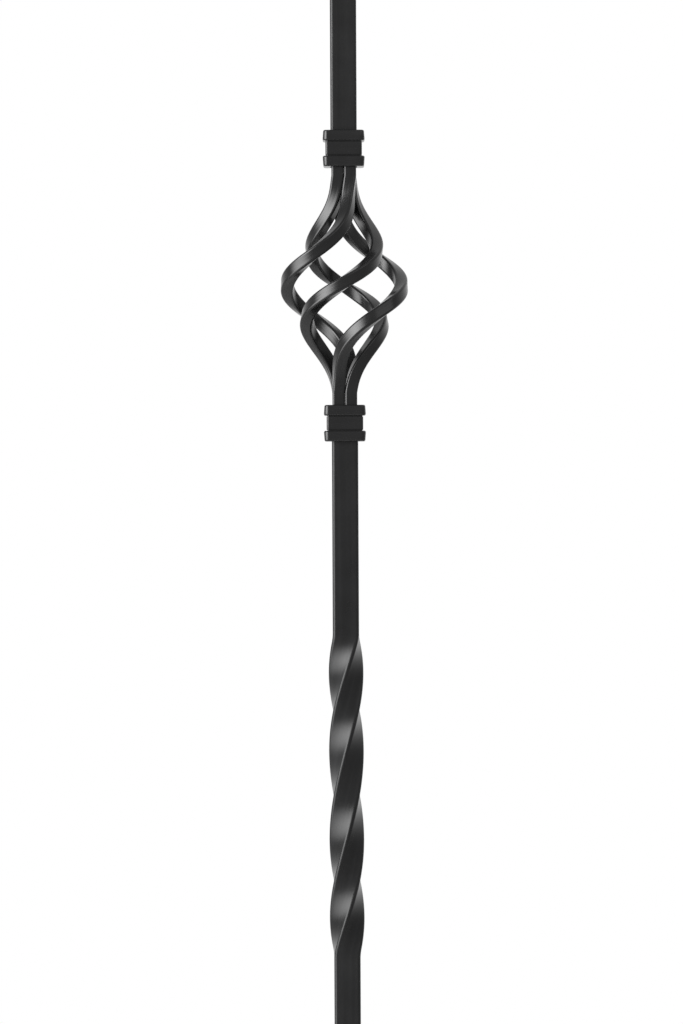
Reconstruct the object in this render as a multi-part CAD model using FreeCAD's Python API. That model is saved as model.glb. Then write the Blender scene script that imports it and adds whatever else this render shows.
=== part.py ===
import FreeCAD, Part
import math
import os

# Iron stair baluster: a square bar with an open basket of four twisted rods between two
# collars, and a stretch of twisted bar below them. Millimetres, +Z up along the bar, with
# the origin at the centre of the bottom end.

# Square bar
BAR = 12.7  # across the flats
BAR_CORNER = 1.1  # width taken off each flat along the four long edges
BAR_END_CHAMFER = 0.4

# Stretches along the bar, from the bottom end up
FOOT_LENGTH = 413.5  # plain bar below the twist
TWIST_LENGTH = 157.0
MIDDLE_LENGTH = 92.0  # plain bar between the twist and the lower collar
BASKET_HEIGHT = 114.7  # clear height between the two collars
HEAD_LENGTH = 305.4  # plain bar above the upper collar

# Twisted stretch of the bar
TWIST_QUARTER_TURNS = 4
TWIST_RUN_IN = 5.0  # length over which the twist starts and stops
TWIST_TIGHTER_ENDS = 3.0  # how far the twist is drawn from its middle towards its ends
TWIST_STEP = 6.0  # spacing of the sections

# Collars, each a band between two rings, pushed over the joint of bar and basket
COLLAR_RING = 20.2  # across the flats, next to the band
COLLAR_RING_DRAFT = 0.25  # how far each flat leans in towards the collar's end
COLLAR_RING_HEIGHT = 5.1
COLLAR_RING_CORNER = 1.4
COLLAR_RING_EDGE = 0.65  # chamfer of the rings' level edges
COLLAR_BAND = 17.6
COLLAR_BAND_HEIGHT = 7.3
COLLAR_BAND_CORNER = 0.8
COLLAR_CLEARANCE = 0.05  # between the bore and what it passes over, on each side

# Basket of four square rods
ROD = 5.85  # across the flats
ROD_CORNER = 0.9
ROD_GAP = 0.15  # between neighbouring rods in the bundles at the basket's ends
ROD_STEP = 5.0  # spacing of the sections
BASKET_QUARTER_TURNS = 3
BELLY_RADIUS = 27.6  # rod's centre line from the bar's axis at the widest height
BELLY_HEIGHT = 56.25  # widest height above the lower collar
BELLY_POWER = 2.45  # the larger, the slimmer the shoulders beside the belly
LOWER_STRAIGHT = 4.5  # height above the lower collar where the rods start to spread
UPPER_STRAIGHT = 7.9  # the same below the upper collar
LOWER_UNTURNED = 5.9  # height above the lower collar where the rods start to turn
UPPER_UNTURNED = 4.3  # the same below the upper collar
TURN_SWELL = 0.09  # how much the turn round the axis runs ahead on the way to each end
ROLL_SWELL = 0.47  # the same for a rod's roll about itself

# Sizes and heights worked out from the sizes above
BUNDLE = 2 * ROD + ROD_GAP  # across the four rods where they lie side by side
COLLAR_BORE = max(BAR, BUNDLE) + 2 * COLLAR_CLEARANCE
COLLAR_HEIGHT = COLLAR_BAND_HEIGHT + 2 * COLLAR_RING_HEIGHT
TWIST_BOTTOM = FOOT_LENGTH
TWIST_TOP = TWIST_BOTTOM + TWIST_LENGTH
LOWER_COLLAR_BOTTOM = TWIST_TOP + MIDDLE_LENGTH
LOWER_JOINT = LOWER_COLLAR_BOTTOM + COLLAR_HEIGHT / 2
BASKET_BOTTOM = LOWER_COLLAR_BOTTOM + COLLAR_HEIGHT
BASKET_TOP = BASKET_BOTTOM + BASKET_HEIGHT
UPPER_COLLAR_BOTTOM = BASKET_TOP
UPPER_JOINT = UPPER_COLLAR_BOTTOM + COLLAR_HEIGHT / 2
TOP = UPPER_COLLAR_BOTTOM + COLLAR_HEIGHT + HEAD_LENGTH

UP = FreeCAD.Vector(0, 0, 1)
LEVEL_TOLERANCE = 1e-6
LOFT_DEGREE = 2


def eased_square(side, corner, height=0):
    """Level outline of a square with its corners taken off, centred on the axis."""
    flat = side / 2 - corner
    points = []
    for quarter in range(4):
        turn = FreeCAD.Rotation(UP, 90 * quarter)
        points.append(turn.multVec(FreeCAD.Vector(side / 2, -flat, height)))
        points.append(turn.multVec(FreeCAD.Vector(side / 2, flat, height)))
    return Part.makePolygon(points + points[:1])


def prism(side, corner, bottom, top):
    """Upright eased square bar between two heights."""
    return Part.Face(eased_square(side, corner, bottom)).extrude(UP * (top - bottom))


def smooth_loft(sections):
    """Solid that passes smoothly through sections along a twisted bar or rod."""
    return Part.makeLoft(sections, True, False, False, LOFT_DEGREE)


def plain_bar(bottom, top, cut_end):
    """Straight bar, chamfered round the end that is left free."""
    bar = prism(BAR, BAR_CORNER, bottom, top)
    rim = []
    for edge in bar.Edges:
        box = edge.BoundBox
        if max(abs(box.ZMin - cut_end), abs(box.ZMax - cut_end)) < LEVEL_TOLERANCE:
            rim.append(edge)
    return bar.makeChamfer(BAR_END_CHAMFER, rim)


def twist_angle(height):
    """Degrees that the bar has turned at a height above the twist's bottom."""
    full_rate = TWIST_LENGTH - TWIST_RUN_IN
    if height < TWIST_RUN_IN:
        eased = height**2 / (2 * TWIST_RUN_IN)
    elif height > full_rate:
        eased = full_rate - (TWIST_LENGTH - height) ** 2 / (2 * TWIST_RUN_IN)
    else:
        eased = height - TWIST_RUN_IN / 2
    share = eased / full_rate
    drawn = TWIST_TIGHTER_ENDS / full_rate * math.sin(2 * math.pi * share)
    return 90 * TWIST_QUARTER_TURNS * (share + drawn)


def twisted_bar():
    """The bar's twisted stretch, lofted through turned sections."""
    count = math.ceil(TWIST_LENGTH / TWIST_STEP)
    sections = []
    for index in range(count + 1):
        height = TWIST_LENGTH * index / count
        section = eased_square(BAR, BAR_CORNER)
        turn = FreeCAD.Rotation(UP, twist_angle(height))
        section.Placement = FreeCAD.Placement(UP * (TWIST_BOTTOM + height), turn)
        sections.append(section)
    return smooth_loft(sections)


def lower_bar():
    """Bottom bar, from the cut end through the twist to the joint in the lower collar."""
    foot = plain_bar(0, TWIST_BOTTOM, 0)
    middle = prism(BAR, BAR_CORNER, TWIST_TOP, LOWER_JOINT)
    return foot.fuse([twisted_bar(), middle])


def upper_bar():
    """Top bar, from the joint in the upper collar to the cut end."""
    return plain_bar(UPPER_JOINT, TOP, TOP)


def collar_ring(outer_side, band_side):
    """Ring of a collar, drafted to be widest next to the band, with chamfered level edges."""
    edge = math.copysign(COLLAR_RING_EDGE, band_side - outer_side)
    narrow = COLLAR_RING - 2 * COLLAR_RING_DRAFT
    levels = [
        (outer_side, narrow - 2 * COLLAR_RING_EDGE),
        (outer_side + edge, narrow),
        (band_side - edge, COLLAR_RING),
        (band_side, COLLAR_RING - 2 * COLLAR_RING_EDGE),
    ]
    outlines = [eased_square(side, COLLAR_RING_CORNER, height) for height, side in levels]
    return Part.makeLoft(outlines, True, True)


def collar(bottom):
    """Collar of two rings and a band, bored to pass over the bar and the bundled rods."""
    top = bottom + COLLAR_HEIGHT
    band_bottom = bottom + COLLAR_RING_HEIGHT
    band_top = top - COLLAR_RING_HEIGHT
    band = prism(COLLAR_BAND, COLLAR_BAND_CORNER, band_bottom, band_top)
    rings = [collar_ring(bottom, band_bottom), collar_ring(top, band_top)]
    bore = prism(COLLAR_BORE, BAR_CORNER, bottom, top)
    return band.fuse(rings).cut(bore)


def rod_radius(height):
    """Distance of a rod's centre line from the axis, at a height above the lower collar."""
    bundle_radius = (ROD + ROD_GAP) / math.sqrt(2)
    if height > BELLY_HEIGHT:
        reach = BASKET_HEIGHT - UPPER_STRAIGHT - BELLY_HEIGHT
    else:
        reach = BELLY_HEIGHT - LOWER_STRAIGHT
    away = min(abs(height - BELLY_HEIGHT) / reach, 1)
    spread = max(math.cos(math.pi / 2 * away), 0) ** BELLY_POWER
    return bundle_radius + (BELLY_RADIUS - bundle_radius) * spread


def turned_share(height, swell):
    """How far a rod has turned, from -1 at its lower end to 1 at its upper, fastest in the middle."""
    turning = (BASKET_HEIGHT - LOWER_UNTURNED - UPPER_UNTURNED) / 2
    middle = LOWER_UNTURNED + turning
    way = max(-1, min(1, (height - middle) / turning))
    return way + swell * math.sin(math.pi * way)


def rod_angle(height):
    """Degrees round the axis of a rod that starts in a corner of the bundle."""
    return 45 + 90 * BASKET_QUARTER_TURNS * (1 + turned_share(height, TURN_SWELL)) / 2


def rod_centre(height):
    """Point of a rod's centre line, at a height above the lower collar."""
    around = FreeCAD.Rotation(UP, rod_angle(height))
    level = around.multVec(FreeCAD.Vector(rod_radius(height), 0, 0))
    return level + UP * (BASKET_BOTTOM + height)


def rod_section(height):
    """Square section across the rod: flat to the axis at mid-height, corner-on in the bundles."""
    reach = ROD_STEP / 10
    along = rod_centre(height + reach) - rod_centre(height - reach)
    outward = FreeCAD.Rotation(UP, rod_angle(height)).multVec(FreeCAD.Vector(1, 0, 0))
    facing = FreeCAD.Rotation(outward, FreeCAD.Vector(), along, "ZXY")
    roll = FreeCAD.Rotation(UP, 45 * turned_share(height, ROLL_SWELL))
    section = eased_square(ROD, ROD_CORNER)
    section.Placement = FreeCAD.Placement(rod_centre(height), facing.multiply(roll))
    return section


def basket_rod(index):
    """One rod of the basket, butted on the bar ends inside the collars."""
    bottom = LOWER_JOINT - BASKET_BOTTOM
    top = UPPER_JOINT - BASKET_BOTTOM
    count = math.ceil((top - bottom) / ROD_STEP)
    heights = [bottom + (top - bottom) * step / count for step in range(count + 1)]
    rod = smooth_loft([rod_section(height) for height in heights])
    return rod.rotate(FreeCAD.Vector(), UP, 90 * index)


nodes = {
    "upper_bar": upper_bar(),
    "lower_bar": lower_bar(),
    "upper_collar": collar(UPPER_COLLAR_BOTTOM),
    "lower_collar": collar(LOWER_COLLAR_BOTTOM),
}
for index in range(4):
    nodes[f"basket_rod_{index + 1}"] = basket_rod(index)

os.makedirs("parts", exist_ok=True)
for name, shape in nodes.items():
    shape.exportStep(f"parts/{name}.step")
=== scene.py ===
import math

import bmesh
import bpy
from bpy.props import FloatProperty, FloatVectorProperty, IntProperty, PointerProperty
from mathutils import Matrix, Vector


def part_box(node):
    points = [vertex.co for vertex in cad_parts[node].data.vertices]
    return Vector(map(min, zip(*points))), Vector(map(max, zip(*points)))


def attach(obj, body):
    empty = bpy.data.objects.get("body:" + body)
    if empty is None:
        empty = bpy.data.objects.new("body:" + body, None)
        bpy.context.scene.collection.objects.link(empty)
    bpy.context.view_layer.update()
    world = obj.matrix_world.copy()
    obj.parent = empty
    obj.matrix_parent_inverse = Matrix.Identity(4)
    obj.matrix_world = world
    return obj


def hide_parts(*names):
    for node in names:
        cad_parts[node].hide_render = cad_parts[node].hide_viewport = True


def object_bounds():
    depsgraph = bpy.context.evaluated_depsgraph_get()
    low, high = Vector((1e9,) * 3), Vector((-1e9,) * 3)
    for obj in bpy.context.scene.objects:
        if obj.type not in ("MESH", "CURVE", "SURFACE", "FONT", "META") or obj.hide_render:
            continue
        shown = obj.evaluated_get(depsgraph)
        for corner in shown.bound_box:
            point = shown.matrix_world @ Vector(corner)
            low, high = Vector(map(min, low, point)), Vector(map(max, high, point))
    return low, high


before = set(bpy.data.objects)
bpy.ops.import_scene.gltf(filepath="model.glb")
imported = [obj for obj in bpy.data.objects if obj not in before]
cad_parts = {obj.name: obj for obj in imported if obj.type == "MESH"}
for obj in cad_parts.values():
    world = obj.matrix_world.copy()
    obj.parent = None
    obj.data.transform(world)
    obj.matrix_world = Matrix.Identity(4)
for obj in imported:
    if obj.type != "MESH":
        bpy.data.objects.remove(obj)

# Finish and studio for an iron stair baluster. Each CAD piece is rebuilt over its own place
# with the rounded edges of the real bar, collars and twisted rods, and coated satin black.

bl_info = {
    "name": "Iron Stair Baluster",
    "version": (1, 0, 0),
    "blender": (4, 5, 0),
    "location": "View3D > Sidebar > Baluster",
    "description": "Builds the coated pieces of a basket baluster and a white studio around them",
    "category": "Object",
}

MM = 0.001
QUARTER = math.pi / 2
BODY = "root"
CAD_LOW, CAD_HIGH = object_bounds()

# Fineness of the meshes
BAR_ARC_STEPS = 8
BAR_FLAT_STEPS = 10
TWIST_STEP = 0.7 * MM
ROD_ARC_STEPS = 6
ROD_FLAT_STEPS = 8
ROD_STEP = 0.3 * MM
COLLAR_ARC_STEPS = 8
COLLAR_FLAT_STEPS = 8
EDGE_STEPS = 6
FLOOR_SEGMENTS = 96
SHARP_ANGLE = math.radians(50)

# Noise in the coat's finish
NOISE_LOW = 0.3  # most of a noise texture lies between these two values
NOISE_HIGH = 0.7
LINE_DETAIL = 1.0
STREAK_SCALE = 0.35  # streaks are about three times as long and wide as the lines
STREAK_DETAIL = 3.0
STREAK_TONE = 0.2  # share by which streaks lighten and darken the colour
PEEL_DETAIL = 3.0
MOTTLE_DETAIL = 4.0
MOTTLE_TONE = 0.15  # share by which patches lighten and darken the colour
MOTTLE_ROUGHNESS = 0.03  # how far patches raise and lower the roughness

ROD_COUNT = 4
CORNER_TURN = QUARTER / 2  # from a flat of a square section to its corner
BACKDROP_FALLOFF = 2.0
ARCH_SCALE = 4.0  # lifts x * (1 - x) to 1 at its middle
SENSOR = 36.0  # width of the camera's sensor in millimetres


def box_side(node):
    """Width of a CAD piece across its flats."""
    low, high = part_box(node)
    return high.x - low.x


def box_bottom(node):
    """Height of a CAD piece's lowest point."""
    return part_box(node)[0].z


def box_top(node):
    """Height of a CAD piece's highest point."""
    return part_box(node)[1].z


LOWER_JOINT = box_top("lower_bar")
UPPER_JOINT = box_bottom("upper_bar")
BASKET_BOTTOM = box_top("lower_collar")
BASKET_HEIGHT = box_bottom("upper_collar") - BASKET_BOTTOM


def length(name, description, default):
    """Property for a size or height."""
    return FloatProperty(
        name=name, description=description, default=default, unit="LENGTH", precision=5
    )


def share(name, description, default):
    """Property for a share from 0 to 1."""
    return FloatProperty(
        name=name, description=description, default=default, min=0, max=1, subtype="FACTOR"
    )


def number(name, description, default):
    """Property for a plain number."""
    return FloatProperty(name=name, description=description, default=default)


def whole(name, description, default):
    """Property for a whole number."""
    return IntProperty(name=name, description=description, default=default)


def watts(name, description, default):
    """Property for a light's power."""
    return FloatProperty(name=name, description=description, default=default, unit="POWER")


def angle(name, description, degrees):
    """Property for an angle, given in degrees."""
    default = math.radians(degrees)
    return FloatProperty(name=name, description=description, default=default, subtype="ANGLE")


def colour(name, description, default):
    """Property for a colour."""
    return FloatVectorProperty(
        name=name, description=description, default=default, size=3, min=0, max=1, subtype="COLOR"
    )


class BarSettings(bpy.types.PropertyGroup):
    """Sizes of the square bar and its twisted stretch."""

    side: length("Side", "Width across the flats", box_side("upper_bar"))
    corner_radius: length("Corner Radius", "Rounding of the long edges", 1.5 * MM)
    end_radius: length("End Radius", "Rounding round the cut ends", 0.4 * MM)
    twist_bottom: length("Twist Bottom", "Height where the twist starts", 413.5 * MM)
    twist_length: length("Twist Length", "Length of the twisted stretch", 157.0 * MM)
    twist_quarter_turns: whole("Quarter Turns", "Quarter turns over the twisted stretch", 4)
    twist_run_in: length("Run-in", "Length over which the twist starts and stops", 5.0 * MM)
    twist_tighter_ends: length("Tighter Ends", "How far the twist is drawn towards its ends", 3.0 * MM)


class CollarSettings(bpy.types.PropertyGroup):
    """Sizes of the two collars."""

    ring_side: length("Ring Side", "Width of a ring next to the band", box_side("lower_collar"))
    ring_draft: length("Ring Draft", "How far each flat leans in towards the collar's end", 0.25 * MM)
    ring_height: length("Ring Height", "Height of each ring", 5.1 * MM)
    ring_corner_radius: length("Ring Corner Radius", "Rounding of the upright edges", 2.4 * MM)
    ring_edge_radius: length("Ring Edge Radius", "Rounding of the level edges", 0.8 * MM)
    band_side: length("Band Side", "Width of the band between the rings", 17.6 * MM)
    band_corner_radius: length("Band Corner Radius", "Rounding of the band's upright edges", 0.7 * MM)
    groove_depth: length("Groove Depth", "Depth of the grooves between band and rings", 0.4 * MM)
    groove_height: length("Groove Height", "Height of the grooves between band and rings", 0.5 * MM)
    groove_radius: length("Groove Radius", "Rounding of the band beside its grooves", 0.2 * MM)
    clearance: length("Clearance", "Gap between the bar and the bore", 0.05 * MM)


class BasketSettings(bpy.types.PropertyGroup):
    """Sizes and course of the four rods."""

    rod_side: length("Rod Side", "Width across a rod's flats", 5.98 * MM)
    rod_corner_radius: length("Rod Corner Radius", "Rounding of the long edges", 1.1 * MM)
    rod_gap: length("Rod Gap", "Gap between the rods in the bundles", 0.02 * MM)
    quarter_turns: whole("Quarter Turns", "Quarter turns of each rod round the basket", 3)
    belly_radius: length("Belly Radius", "Rod's centre line from the axis where widest", 27.6 * MM)
    belly_height: length("Belly Height", "Widest height above the lower collar", 56.25 * MM)
    belly_power: number("Belly Power", "The larger, the slimmer the belly's shoulders", 2.45)
    lower_straight: length("Lower Straight", "Height where the rods start to spread", 4.5 * MM)
    upper_straight: length("Upper Straight", "The same below the upper collar", 7.9 * MM)
    lower_unturned: length("Lower Unturned", "Height where the rods start to turn", 5.9 * MM)
    upper_unturned: length("Upper Unturned", "The same below the upper collar", 4.3 * MM)
    turn_swell: number("Turn Swell", "How much the rods turn faster at mid-height", 0.09)
    roll_swell: number("Roll Swell", "How much the rods roll faster at mid-height", 0.47)


class CoatSettings(bpy.types.PropertyGroup):
    """Satin black powder coat."""

    # One satin black coat covers the whole baluster. The bars' colour is set lighter than that black as
    # painted light on their flats, and the rods' and collars' colour darker as painted shade in their
    # dark stretches.
    bar_colour_with_painted_light: colour("Bar Colour", "Colour on the bars", (0.014, 0.014, 0.0144))
    rod_colour_with_painted_shade: colour("Rod Colour", "Colour on the rods and collars", (0.008, 0.008, 0.0083))
    bar_roughness: share("Bar Roughness", "Roughness on the bars", 0.30)
    rod_roughness: share("Rod Roughness", "Roughness on the rods and collars", 0.24)
    peel_size: length("Peel Size", "Width of the coat's orange-peel ripples", 1.3 * MM)
    peel_depth: length("Peel Depth", "Depth of the coat's orange-peel ripples", 0.010 * MM)
    mottle_size: length("Mottle Size", "Width of the patches where the sheen varies", 14.0 * MM)
    line_width: length("Line Width", "Width of the rolled lines under the coat", 1.0 * MM)
    line_length: length("Line Length", "Length of the rolled lines under the coat", 60.0 * MM)
    bar_line_depth: length("Bar Line Depth", "Depth of the rolled lines on the bars", 0.010 * MM)
    rod_line_depth: length("Rod Line Depth", "Depth of the rolled lines on the rods", 0.030 * MM)
    collar_line_depth: length("Collar Line Depth", "Depth of the lines round the collars", 0.004 * MM)
    bar_sheen: share("Bar Sheen", "Sheen on the bars", 0.5)
    rod_sheen: share("Rod Sheen", "Sheen on the rods and collars", 0.74)


class StageSettings(bpy.types.PropertyGroup):
    """Floor, studio light and camera."""

    floor_colour: colour("Floor Colour", "Colour of the pale floor", (0.7, 0.7, 0.7))
    floor_roughness: share("Floor Roughness", "Roughness of the pale floor", 0.8)
    floor_radius: length("Floor Radius", "Radius where the floor has faded out", 1.45)
    floor_fade: length("Floor Fade", "Radius where the floor starts to fade out", 0.4)
    studio_level: share("Studio Level", "Brightness of the studio in front of the object", 0.3)
    backdrop_level: share("Backdrop Level", "Brightness of the backdrop as a light", 1.0)
    backdrop_turn: angle("Backdrop Turn", "How far to the right the backdrop is brightest", 10)
    backdrop_rise: angle("Backdrop Rise", "How far above the level the backdrop is brightest", 14)
    key_turn: angle("Key Turn", "How far the key light stands to the camera's left", 58)
    key_distance: length("Key Distance", "Distance of the key light from the object", 1.5)
    # The key softbox reaches below the floor's level, past the radius where the floor ends
    key_bottom: length("Key Bottom", "Height of the key softbox's lower edge", -0.35)
    key_top: length("Key Top", "Height of the key softbox's upper edge", 1.5)
    key_width: length("Key Width", "Width of the key softbox", 2.2)
    key_dim: share("Key Dim", "Share of the full brightness at the key's lower edge", 0.13)
    key_full: share("Key Full", "Share of the key's height where it is at full brightness", 0.7)
    key_narrowing: number("Key Narrowing", "How much narrower the key glows towards its top", 1.32)
    key_lean: number("Key Lean", "How much the key's glow leans towards the camera", 0.112)
    key_foot: share("Key Foot", "Share of the key's height where its glow is in the middle", 0.4)
    key_power: watts("Key Power", "Power of the key light", 82)
    fill_turn: angle("Fill Turn", "How far the fill light stands to the camera's right", 40)
    fill_distance: length("Fill Distance", "Distance of the fill light from the object", 1.5)
    fill_bottom: length("Fill Bottom", "Height of the fill softbox's lower edge", 1.15)
    fill_top: length("Fill Top", "Height of the fill softbox's upper edge", 1.9)
    fill_width: length("Fill Width", "Width of the fill softbox", 1.6)
    fill_power: watts("Fill Power", "Power of the fill light", 2.0)
    view_distance: length("View Distance", "Distance of the camera from the object's axis", 3.0)
    view_height: length("View Height", "Height of the camera and of the picture's centre", 628.5 * MM)
    view_offset: length("View Offset", "How far the axis lies right of the picture's centre", 1.85 * MM)
    view_span: length("View Span", "Height of the object that the picture spans", 493.5 * MM)
    view_roll: angle("View Roll", "How far the bar leans left in the picture", 0.27)


class BalusterSettings(bpy.types.PropertyGroup):
    """Everything that the baluster's operators use."""

    bar: PointerProperty(type=BarSettings)
    collar: PointerProperty(type=CollarSettings)
    basket: PointerProperty(type=BasketSettings)
    coat: PointerProperty(type=CoatSettings)
    stage: PointerProperty(type=StageSettings)


def rounded_square(side, radius, arc_steps, flat_steps):
    """Anticlockwise points of a rounded square, closest together beside its corners."""
    flat = side / 2 - radius
    points = []
    for quarter in range(4):
        turn = Matrix.Rotation(QUARTER * quarter, 2)
        for step in range(1, flat_steps):
            along = math.sin(QUARTER * (2 * step / flat_steps - 1))
            points.append(turn @ Vector((side / 2, flat * along)))
        for step in range(arc_steps + 1):
            bend = QUARTER * step / arc_steps
            corner = Vector((flat + radius * math.cos(bend), flat + radius * math.sin(bend)))
            points.append(turn @ corner)
    return points


def level_ring(outline, height, turn=0.0):
    """Points of an outline laid level at a height and turned about the axis."""
    spin = Matrix.Rotation(turn, 2)
    return [(spin @ point).to_3d() + Vector((0, 0, height)) for point in outline]


def skin(name, rings, ring_closed=False):
    """Object whose surface runs through rings of points, capped or closed end to end.

    Its UV map holds metres along the rings and round them, so that rolled lines follow a twist.
    """
    mesh = bmesh.new()
    uv_layer = mesh.loops.layers.uv.new("run")
    verts = [[mesh.verts.new(point) for point in ring] for ring in rings]
    count = len(rings[0])
    runs = [0.0]
    for before, after in zip(rings, rings[1:]):
        runs.append(runs[-1] + (after[0] - before[0]).length)
    rounds = [0.0]
    for place in range(count):
        rounds.append(rounds[-1] + (rings[0][(place + 1) % count] - rings[0][place]).length)
    for low in range(len(rings) - 1):
        for place in range(count):
            after = (place + 1) % count
            face = mesh.faces.new(
                (verts[low][place], verts[low][after], verts[low + 1][after], verts[low + 1][place])
            )
            corners = ((low, place), (low, place + 1), (low + 1, place + 1), (low + 1, place))
            for loop, (run, around) in zip(face.loops, corners):
                loop[uv_layer].uv = (runs[run], rounds[around])
    if ring_closed:
        for place in range(count):
            after = (place + 1) % count
            mesh.faces.new((verts[-1][place], verts[-1][after], verts[0][after], verts[0][place]))
    else:
        mesh.faces.new(list(reversed(verts[0])))
        mesh.faces.new(verts[-1])
    bmesh.ops.recalc_face_normals(mesh, faces=mesh.faces)
    data = bpy.data.meshes.new(name)
    mesh.to_mesh(data)
    mesh.free()
    data.shade_smooth()
    data.set_sharp_from_angle(angle=SHARP_ANGLE)
    piece = bpy.data.objects.new(name, data)
    bpy.context.scene.collection.objects.link(piece)
    return piece


def put_on(piece, node, material):
    """Coats a piece and lets it stand for a CAD node."""
    piece.data.materials.append(material)
    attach(piece, BODY)
    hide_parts(node)


def add_node(tree, kind, inputs=None, **options):
    """New shader node with its options and input values set or linked."""
    node = tree.nodes.new(kind)
    for option, value in options.items():
        setattr(node, option, value)
    for socket, value in (inputs or {}).items():
        if isinstance(value, bpy.types.NodeSocket):
            tree.links.new(value, node.inputs[socket])
        else:
            node.inputs[socket].default_value = value
    return node


def add_math(tree, operation, first, second, third=0.0):
    """Output of a math node."""
    inputs = {0: first, 1: second, 2: third}
    return add_node(tree, "ShaderNodeMath", inputs, operation=operation).outputs[0]


def add_noise(tree, place, scale, detail, dimensions="3D"):
    """Output of a noise texture."""
    inputs = {"Vector": place, "Scale": scale, "Detail": detail}
    return add_node(tree, "ShaderNodeTexNoise", inputs, noise_dimensions=dimensions).outputs["Fac"]


def swing_noise(tree, noise, middle, swing):
    """Output of a noise spread out to a swing below and above a middle value."""
    inputs = {
        "Value": noise,
        "From Min": NOISE_LOW,
        "From Max": NOISE_HIGH,
        "To Min": middle - swing,
        "To Max": middle + swing,
    }
    return add_node(tree, "ShaderNodeMapRange", inputs).outputs["Result"]


def node_group(name, inputs, outputs):
    """Empty shader node group with named sockets, and its input and output nodes."""
    group = bpy.data.node_groups.new(name, "ShaderNodeTree")
    for socket, kind in inputs.items():
        group.interface.new_socket(socket, in_out="INPUT", socket_type=kind)
    for socket, kind in outputs.items():
        group.interface.new_socket(socket, in_out="OUTPUT", socket_type=kind)
    return group, group.nodes.new("NodeGroupInput"), group.nodes.new("NodeGroupOutput")


def rolled_lines_group():
    """Fine lines and wider streaks along the run of a piece, which follow its twist."""
    name = "Rolled Lines"
    if name in bpy.data.node_groups:
        return bpy.data.node_groups[name]
    inputs = {"Depth": "NodeSocketFloat", "Along": "NodeSocketFloat", "Across": "NodeSocketFloat"}
    outputs = {"Height": "NodeSocketFloat", "Tone": "NodeSocketFloat"}
    group, given, result = node_group(name, inputs, outputs)
    place = add_node(group, "ShaderNodeUVMap", uv_map="run").outputs["UV"]
    sizes = {0: given.outputs["Along"], 1: given.outputs["Across"], 2: 1.0}
    size = add_node(group, "ShaderNodeCombineXYZ", sizes).outputs[0]
    stretch = add_node(group, "ShaderNodeVectorMath", {0: place, 1: size}, operation="DIVIDE")
    stretched = stretch.outputs[0]
    lines = add_noise(group, stretched, 1.0, LINE_DETAIL, "2D")
    streaks = add_noise(group, stretched, STREAK_SCALE, STREAK_DETAIL, "2D")
    tone = swing_noise(group, streaks, 1.0, STREAK_TONE)
    height = add_math(group, "MULTIPLY", lines, given.outputs["Depth"])
    group.links.new(height, result.inputs["Height"])
    group.links.new(tone, result.inputs["Tone"])
    return group


def coat_group():
    """Sprayed and baked coat: orange-peel ripples, and patches where colour and sheen vary."""
    name = "Powder Coat"
    if name in bpy.data.node_groups:
        return bpy.data.node_groups[name]
    inputs = {
        "Colour": "NodeSocketColor",
        "Roughness": "NodeSocketFloat",
        "Peel Size": "NodeSocketFloat",
        "Peel Depth": "NodeSocketFloat",
        "Mottle Size": "NodeSocketFloat",
        "Lines": "NodeSocketFloat",
        "Tone": "NodeSocketFloat",
    }
    outputs = {
        "Colour": "NodeSocketColor",
        "Roughness": "NodeSocketFloat",
        "Normal": "NodeSocketVector",
    }
    group, given, result = node_group(name, inputs, outputs)
    place = add_node(group, "ShaderNodeTexCoord").outputs["Object"]
    peel_scale = add_math(group, "DIVIDE", 1.0, given.outputs["Peel Size"])
    peel = add_noise(group, place, peel_scale, PEEL_DETAIL)
    height = add_math(group, "MULTIPLY", peel, given.outputs["Peel Depth"])
    height = add_math(group, "ADD", height, given.outputs["Lines"])
    bump = add_node(group, "ShaderNodeBump", {"Height": height, "Distance": 1.0, "Strength": 1.0})
    mottle_scale = add_math(group, "DIVIDE", 1.0, given.outputs["Mottle Size"])
    mottle = add_noise(group, place, mottle_scale, MOTTLE_DETAIL)
    rougher = swing_noise(group, mottle, 0.0, MOTTLE_ROUGHNESS)
    roughness = add_math(group, "ADD", given.outputs["Roughness"], rougher)
    lighter = swing_noise(group, mottle, 1.0, MOTTLE_TONE)
    lighter = add_math(group, "MULTIPLY", lighter, given.outputs["Tone"])
    shade = {0: given.outputs["Colour"], "Scale": lighter}
    shaded = add_node(group, "ShaderNodeVectorMath", shade, operation="SCALE").outputs[0]
    group.links.new(shaded, result.inputs["Colour"])
    group.links.new(roughness, result.inputs["Roughness"])
    group.links.new(bump.outputs["Normal"], result.inputs["Normal"])
    return group


def coat_material(name, coat, tint_with_painted_light, roughness, sheen, line_depth, lines_round=False):
    """Satin black powder coat over iron with fine lines along a piece or round it."""
    material = bpy.data.materials.new(name)
    material.use_nodes = True
    tree = material.node_tree
    along, across = coat.line_length, coat.line_width
    if lines_round:
        along, across = across, along
    inputs = {"Depth": line_depth, "Along": along, "Across": across}
    lines = add_node(tree, "ShaderNodeGroup", inputs, node_tree=rolled_lines_group())
    inputs = {
        # The tint is the coat's black with painted light in it: lighter on the bars, and darker as
        # painted shade on the rods and collars.
        "Colour": (*tint_with_painted_light, 1.0),
        "Roughness": roughness,
        "Peel Size": coat.peel_size,
        "Peel Depth": coat.peel_depth,
        "Mottle Size": coat.mottle_size,
        "Lines": lines.outputs["Height"],
        "Tone": lines.outputs["Tone"],
    }
    finish = add_node(tree, "ShaderNodeGroup", inputs, node_tree=coat_group())
    shader = tree.nodes["Principled BSDF"]
    shader.inputs["Specular IOR Level"].default_value = sheen
    tree.links.new(finish.outputs["Colour"], shader.inputs["Base Color"])
    tree.links.new(finish.outputs["Roughness"], shader.inputs["Roughness"])
    tree.links.new(finish.outputs["Normal"], shader.inputs["Normal"])
    return material


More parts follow.
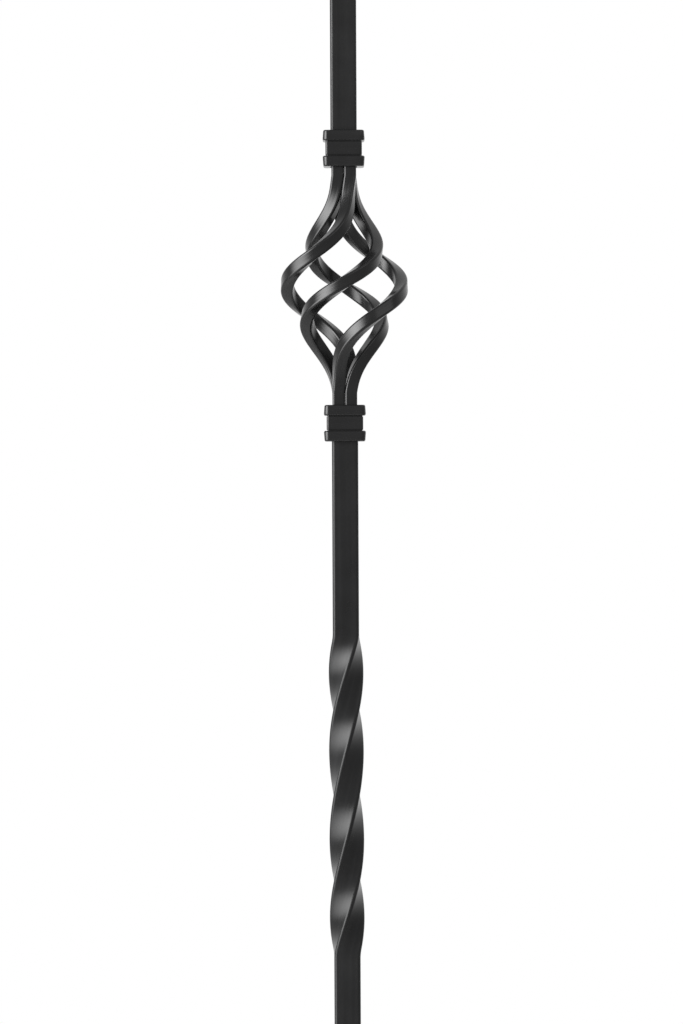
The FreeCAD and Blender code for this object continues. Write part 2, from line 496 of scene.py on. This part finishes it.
def twist_turn(bar, height):
    """How far the bar has turned at a height above the twist's bottom."""
    full_rate = bar.twist_length - bar.twist_run_in
    if height < bar.twist_run_in:
        eased = height**2 / (2 * bar.twist_run_in)
    elif height > full_rate:
        eased = full_rate - (bar.twist_length - height) ** 2 / (2 * bar.twist_run_in)
    else:
        eased = height - bar.twist_run_in / 2
    way = eased / full_rate
    drawn = bar.twist_tighter_ends / full_rate * math.sin(2 * math.pi * way)
    return QUARTER * bar.twist_quarter_turns * (way + drawn)


def bar_outline(bar, inset=0.0):
    """Section of the bar, drawn in by an inset."""
    return rounded_square(bar.side - 2 * inset, bar.corner_radius - inset, BAR_ARC_STEPS, BAR_FLAT_STEPS)


def cut_end_rings(bar, end, inward):
    """Rings that round the bar over at a cut end, from the end face inwards."""
    rings = []
    for step in range(EDGE_STEPS + 1):
        bend = QUARTER * step / EDGE_STEPS
        inset = bar.end_radius * (1 - math.sin(bend))
        depth = bar.end_radius * (1 - math.cos(bend))
        rings.append(level_ring(bar_outline(bar, inset), end + inward * depth))
    return rings


def lower_bar_rings(bar):
    """Rings of the bottom bar, from its cut end through the twist to the joint."""
    rings = cut_end_rings(bar, box_bottom("lower_bar"), 1)
    outline = bar_outline(bar)
    count = math.ceil(bar.twist_length / TWIST_STEP)
    for step in range(count + 1):
        height = bar.twist_length * step / count
        rings.append(level_ring(outline, bar.twist_bottom + height, twist_turn(bar, height)))
    rings.append(level_ring(outline, LOWER_JOINT))
    return rings


def upper_bar_rings(bar):
    """Rings of the top bar, from the joint to its cut end."""
    rings = cut_end_rings(bar, box_top("upper_bar"), -1)
    rings.append(level_ring(bar_outline(bar), UPPER_JOINT))
    return list(reversed(rings))


def arc_points(centre, radius, start, end):
    """Points of an arc in a collar's profile, as (distance from the axis, height)."""
    points = []
    for step in range(EDGE_STEPS + 1):
        bend = start + (end - start) * step / EDGE_STEPS
        points.append((centre[0] + radius * math.cos(bend), centre[1] + radius * math.sin(bend)))
    return points


def half_collar_profile(collar, half_height):
    """Upper half of a collar's outside, from the band's middle up, with heights from there."""
    band = collar.band_side / 2
    ring = collar.ring_side / 2
    narrow = ring - collar.ring_draft
    edge = collar.ring_edge_radius
    ring_bottom = half_height - collar.ring_height
    groove_bottom = ring_bottom - collar.groove_height
    soft = collar.groove_radius
    profile = [(band, 0.0)]
    profile += arc_points((band - soft, groove_bottom - soft), soft, 0, QUARTER)
    profile.append((band - collar.groove_depth, groove_bottom))
    profile.append((band - collar.groove_depth, ring_bottom))
    profile += arc_points((ring - edge, ring_bottom + edge), edge, -QUARTER, 0)
    profile += arc_points((narrow - edge, half_height - edge), edge, 0, QUARTER)
    return profile


def collar_rings(collar, bar, node):
    """Rings round a collar, up its outside and down its bore."""
    low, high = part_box(node)
    middle = (low.z + high.z) / 2
    half_height = (high.z - low.z) / 2
    upper = half_collar_profile(collar, half_height)
    lower = [(reach, -height) for reach, height in reversed(upper)]
    rings = []
    for reach, height in lower + upper[1:]:
        inward = collar.ring_side / 2 - reach
        radius = max(collar.ring_corner_radius - inward, collar.band_corner_radius)
        outline = rounded_square(2 * reach, radius, COLLAR_ARC_STEPS, COLLAR_FLAT_STEPS)
        rings.append(level_ring(outline, middle + height))
    bore = rounded_square(
        bar.side + 2 * collar.clearance,
        bar.corner_radius + collar.clearance,
        COLLAR_ARC_STEPS,
        COLLAR_FLAT_STEPS,
    )
    rings.append(level_ring(bore, high.z))
    rings.append(level_ring(bore, low.z))
    return rings


def rod_reach(basket, height):
    """Distance of a rod's centre line from the axis, at a height above the lower collar."""
    bundle = (basket.rod_side + basket.rod_gap) / math.sqrt(2)
    if height > basket.belly_height:
        fall = BASKET_HEIGHT - basket.upper_straight - basket.belly_height
    else:
        fall = basket.belly_height - basket.lower_straight
    away = min(abs(height - basket.belly_height) / fall, 1)
    spread = max(math.cos(QUARTER * away), 0) ** basket.belly_power
    return bundle + (basket.belly_radius - bundle) * spread


def rod_way(basket, height):
    """How far a height is up the rods' turn, from -1 at its bottom to 1 at its top."""
    turning = (BASKET_HEIGHT - basket.lower_unturned - basket.upper_unturned) / 2
    way = (height - basket.lower_unturned - turning) / turning
    return max(-1, min(1, way))


def swelled(way, swell):
    """Share from -1 to 1 that changes faster in the middle of the way."""
    return way + swell * math.sin(math.pi * way)


def rod_outward(basket, height, index):
    """Level direction from the axis to a rod."""
    turned = (1 + swelled(rod_way(basket, height), basket.turn_swell)) / 2
    turn = CORNER_TURN + QUARTER * (index + basket.quarter_turns * turned)
    return Vector((math.cos(turn), math.sin(turn), 0))


def rod_centre(basket, height, index):
    """Point of a rod's centre line, at a height above the lower collar."""
    level = rod_outward(basket, height, index) * rod_reach(basket, height)
    return level + Vector((0, 0, BASKET_BOTTOM + height))


def rod_rings(basket, index):
    """Sections across a rod, flat to the axis at mid-turn and corner-on in the bundles."""
    outline = rounded_square(basket.rod_side, basket.rod_corner_radius, ROD_ARC_STEPS, ROD_FLAT_STEPS)
    bottom = LOWER_JOINT - BASKET_BOTTOM
    top = UPPER_JOINT - BASKET_BOTTOM
    count = math.ceil((top - bottom) / ROD_STEP)
    rings = []
    for step in range(count + 1):
        height = bottom + (top - bottom) * step / count
        centre = rod_centre(basket, height, index)
        below = rod_centre(basket, height - ROD_STEP, index)
        above = rod_centre(basket, height + ROD_STEP, index)
        along = (above - below).normalized()
        outward = rod_outward(basket, height, index)
        outward = (outward - along * outward.dot(along)).normalized()
        roll = CORNER_TURN * swelled(rod_way(basket, height), basket.roll_swell)
        across = Matrix.Rotation(roll, 3, along) @ outward
        beside = along.cross(across)
        rings.append([centre + across * point.x + beside * point.y for point in outline])
    return rings


class BALUSTER_OT_bars(bpy.types.Operator):
    """Build the top bar and the bottom bar with its twisted stretch"""

    bl_idname = "baluster.bars"
    bl_label = "Bars"

    def execute(self, context):
        settings = context.scene.baluster
        finish = settings.coat
        coat = coat_material(
            "bar_coat",
            finish,
            finish.bar_colour_with_painted_light,
            finish.bar_roughness,
            finish.bar_sheen,
            finish.bar_line_depth,
        )
        put_on(skin("upper_bar_coated", upper_bar_rings(settings.bar)), "upper_bar", coat)
        put_on(skin("lower_bar_coated", lower_bar_rings(settings.bar)), "lower_bar", coat)
        return {"FINISHED"}


class BALUSTER_OT_collars(bpy.types.Operator):
    """Build the two collars over the joints of bar and basket"""

    bl_idname = "baluster.collars"
    bl_label = "Collars"

    def execute(self, context):
        settings = context.scene.baluster
        finish = settings.coat
        coat = coat_material(
            "collar_coat",
            finish,
            finish.rod_colour_with_painted_shade,
            finish.rod_roughness,
            finish.rod_sheen,
            finish.collar_line_depth,
            lines_round=True,
        )
        for node in ("upper_collar", "lower_collar"):
            rings = collar_rings(settings.collar, settings.bar, node)
            put_on(skin(f"{node}_coated", rings, ring_closed=True), node, coat)
        return {"FINISHED"}


class BALUSTER_OT_basket(bpy.types.Operator):
    """Build the four rods of the basket"""

    bl_idname = "baluster.basket"
    bl_label = "Basket"

    def execute(self, context):
        settings = context.scene.baluster
        finish = settings.coat
        coat = coat_material(
            "rod_coat",
            finish,
            finish.rod_colour_with_painted_shade,
            finish.rod_roughness,
            finish.rod_sheen,
            finish.rod_line_depth,
        )
        for index in range(ROD_COUNT):
            node = f"basket_rod_{index + 1}"
            put_on(skin(f"{node}_coated", rod_rings(settings.basket, index)), node, coat)
        return {"FINISHED"}


def white_world(stage):
    """Studio that is white behind the object and grey in front of it, and white to the camera."""
    world = bpy.data.worlds.new("white_studio")
    world.use_nodes = True
    tree = world.node_tree
    way = add_node(tree, "ShaderNodeTexCoord").outputs["Generated"]
    level = math.cos(stage.backdrop_rise)
    behind = (
        level * math.sin(stage.backdrop_turn),
        level * math.cos(stage.backdrop_turn),
        math.sin(stage.backdrop_rise),
    )
    facing = add_node(tree, "ShaderNodeVectorMath", {0: way, 1: behind}, operation="DOT_PRODUCT")
    depth = add_math(tree, "MAXIMUM", facing.outputs["Value"], 0.0)
    backdrop = add_math(tree, "POWER", depth, BACKDROP_FALLOFF)
    ray = add_node(tree, "ShaderNodeLightPath")
    shiny = add_math(tree, "MAXIMUM", ray.outputs["Is Glossy Ray"], ray.outputs["Is Transmission Ray"])
    shiny = add_math(tree, "MULTIPLY", shiny, backdrop)
    white = add_math(tree, "MAXIMUM", ray.outputs["Is Camera Ray"], shiny)
    light = add_node(
        tree,
        "ShaderNodeMapRange",
        {"Value": backdrop, "To Min": stage.studio_level, "To Max": stage.backdrop_level},
    ).outputs["Result"]
    mix = {"Factor": white, 2: light, 3: 1.0}
    shown = add_node(tree, "ShaderNodeMix", mix, data_type="FLOAT").outputs[0]
    background = tree.nodes["Background"]
    background.inputs["Color"].default_value = (1, 1, 1, 1)
    tree.links.new(shown, background.inputs["Strength"])
    bpy.context.scene.world = world


def floor_material(stage):
    """Pale matt floor that fades out into the white around it."""
    material = bpy.data.materials.new("pale_floor")
    material.use_nodes = True
    tree = material.node_tree
    shader = tree.nodes["Principled BSDF"]
    shader.inputs["Base Color"].default_value = (*stage.floor_colour, 1.0)
    shader.inputs["Roughness"].default_value = stage.floor_roughness
    place = add_node(tree, "ShaderNodeTexCoord").outputs["Object"]
    reach = add_node(tree, "ShaderNodeVectorMath", {0: place}, operation="LENGTH").outputs["Value"]
    fade = add_node(
        tree,
        "ShaderNodeMapRange",
        {
            "Value": reach,
            "From Min": stage.floor_fade,
            "From Max": stage.floor_radius,
            "To Min": 1.0,
            "To Max": 0.0,
        },
        interpolation_type="SMOOTHSTEP",
    ).outputs["Result"]
    tree.links.new(fade, shader.inputs["Alpha"])
    return material


def make_floor(stage):
    """Round floor under the bar's bottom end."""
    mesh = bmesh.new()
    bmesh.ops.create_circle(
        mesh, cap_ends=True, segments=FLOOR_SEGMENTS, radius=stage.floor_radius
    )
    data = bpy.data.meshes.new("floor")
    mesh.to_mesh(data)
    mesh.free()
    data.materials.append(floor_material(stage))
    floor = bpy.data.objects.new("floor", data)
    floor.location.z = CAD_LOW.z
    bpy.context.scene.collection.objects.link(floor)


def make_softbox(name, turn, distance, bottom, top, width, power):
    """Upright softbox that faces the object's axis, turned to the camera's right."""
    data = bpy.data.lights.new(name, "AREA")
    data.shape = "RECTANGLE"
    data.size = width
    data.size_y = top - bottom
    data.energy = power
    light = bpy.data.objects.new(name, data)
    light.location = (distance * math.sin(turn), -distance * math.cos(turn), (bottom + top) / 2)
    light.rotation_euler = (QUARTER, 0, turn)
    light.visible_camera = False
    bpy.context.scene.collection.objects.link(light)
    return data


def grade_key(data, stage):
    """Makes a softbox brightest along a leaning middle line and towards its top."""
    data.use_nodes = True
    tree = data.node_tree
    place = add_node(tree, "ShaderNodeNewGeometry").outputs["Parametric"]
    spot = add_node(tree, "ShaderNodeSeparateXYZ", {0: place})
    leaned = add_math(tree, "MULTIPLY_ADD", spot.outputs["Y"], -stage.key_lean, spot.outputs["X"])
    leaned = add_math(tree, "ADD", leaned, stage.key_lean * stage.key_foot)
    beside = add_math(tree, "SUBTRACT", 1.0, leaned)
    arch = add_math(tree, "MULTIPLY", leaned, beside)
    arch = add_math(tree, "MULTIPLY", arch, ARCH_SCALE)
    arch = add_math(tree, "MAXIMUM", arch, 0.0)
    narrowing = add_math(tree, "MULTIPLY_ADD", spot.outputs["Y"], stage.key_narrowing, 1.0)
    sideways = add_math(tree, "POWER", arch, narrowing)
    rise = {
        "Value": spot.outputs["Y"],
        "From Max": stage.key_full,
        "To Min": stage.key_dim,
        "To Max": 1.0,
    }
    upwards = add_node(tree, "ShaderNodeMapRange", rise).outputs["Result"]
    glow = add_math(tree, "MULTIPLY", sideways, upwards)
    tree.links.new(glow, tree.nodes["Emission"].inputs["Strength"])


def make_lights(stage):
    """Bright key softbox to the camera's left and a weak fill higher up to its right."""
    key = make_softbox(
        "key_softbox",
        -stage.key_turn,
        stage.key_distance,
        stage.key_bottom,
        stage.key_top,
        stage.key_width,
        stage.key_power,
    )
    grade_key(key, stage)
    make_softbox(
        "fill_softbox",
        stage.fill_turn,
        stage.fill_distance,
        stage.fill_bottom,
        stage.fill_top,
        stage.fill_width,
        stage.fill_power,
    )


def make_camera(stage):
    """Level camera that spans the picture's part of the object."""
    data = bpy.data.cameras.new("camera")
    data.sensor_width = SENSOR
    data.lens = SENSOR * stage.view_distance / stage.view_span
    camera = bpy.data.objects.new("camera", data)
    level = Matrix.Rotation(QUARTER, 4, "X") @ Matrix.Rotation(-stage.view_roll, 4, "Z")
    place = Vector((-stage.view_offset, -stage.view_distance, stage.view_height))
    camera.matrix_world = Matrix.Translation(place) @ level
    bpy.context.scene.collection.objects.link(camera)
    bpy.context.scene.camera = camera


class BALUSTER_OT_stage(bpy.types.Operator):
    """Set up the floor, the studio light and the camera"""

    bl_idname = "baluster.stage"
    bl_label = "Stage"

    def execute(self, context):
        stage = context.scene.baluster.stage
        make_floor(stage)
        white_world(stage)
        make_lights(stage)
        make_camera(stage)
        context.scene.view_settings.view_transform = "Standard"
        return {"FINISHED"}


class BALUSTER_PT_sidebar(bpy.types.Panel):
    """Operators and sizes of the baluster"""

    bl_idname = "BALUSTER_PT_sidebar"
    bl_label = "Baluster"
    bl_space_type = "VIEW_3D"
    bl_region_type = "UI"
    bl_category = "Baluster"

    def draw(self, context):
        settings = context.scene.baluster
        for operator in OPERATORS:
            self.layout.operator(operator.bl_idname)
        for part in ("bar", "collar", "basket", "coat", "stage"):
            group = getattr(settings, part)
            column = self.layout.column(heading=part.title())
            for name in group.__annotations__:
                column.prop(group, name)


SETTINGS = (BarSettings, CollarSettings, BasketSettings, CoatSettings, StageSettings, BalusterSettings)
OPERATORS = (BALUSTER_OT_bars, BALUSTER_OT_collars, BALUSTER_OT_basket, BALUSTER_OT_stage)
CLASSES = (*SETTINGS, *OPERATORS, BALUSTER_PT_sidebar)


def register():
    """Adds the settings, operators and panel to Blender."""
    for made in CLASSES:
        bpy.utils.register_class(made)
    bpy.types.Scene.baluster = PointerProperty(type=BalusterSettings)


def unregister():
    """Takes the settings, operators and panel out of Blender again."""
    del bpy.types.Scene.baluster
    for made in reversed(CLASSES):
        bpy.utils.unregister_class(made)


def main():
    register()
    bpy.ops.baluster.bars()
    bpy.ops.baluster.collars()
    bpy.ops.baluster.basket()
    bpy.ops.baluster.stage()


if __name__ == "__main__":
    main()
